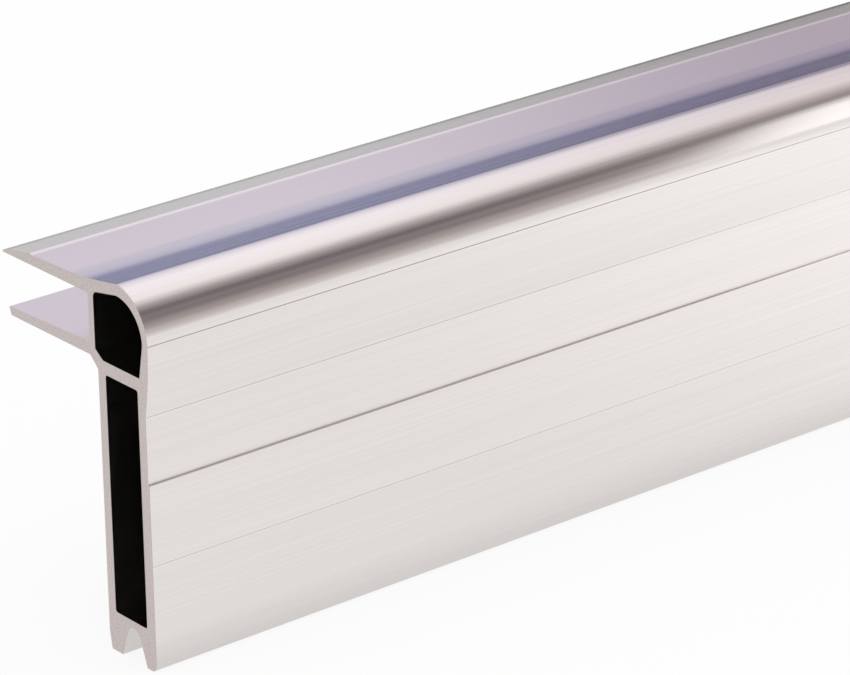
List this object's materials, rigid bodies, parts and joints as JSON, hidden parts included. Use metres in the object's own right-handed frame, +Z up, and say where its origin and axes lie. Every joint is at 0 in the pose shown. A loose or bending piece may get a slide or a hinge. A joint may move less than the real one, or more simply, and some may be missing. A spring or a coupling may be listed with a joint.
{
  "type": "aluminium extrusion profile",
  "caption": "Hollow extruded aluminium panel-edge profile: rounded corner head, twin-flange panel slot behind it, hollow skirt below and a forked foot.",
  "frame": {"origin": "centre of the bounding box's bottom face, on the floor that the forked foot stands on", "axes": "+X along the length of the stock, +Z up, show face and rounded corner towards -Y, panel slot open towards +Y"},
  "size_m": [1, 0.033, 0.0549],
  "materials": {
    "mill_aluminium": "bright mill finish with fine die lines along the length, saw-cut ends"
  },
  "bodies": {
    "root": {"edge_profile": "mill_aluminium"}
  },
  "joints": []
}
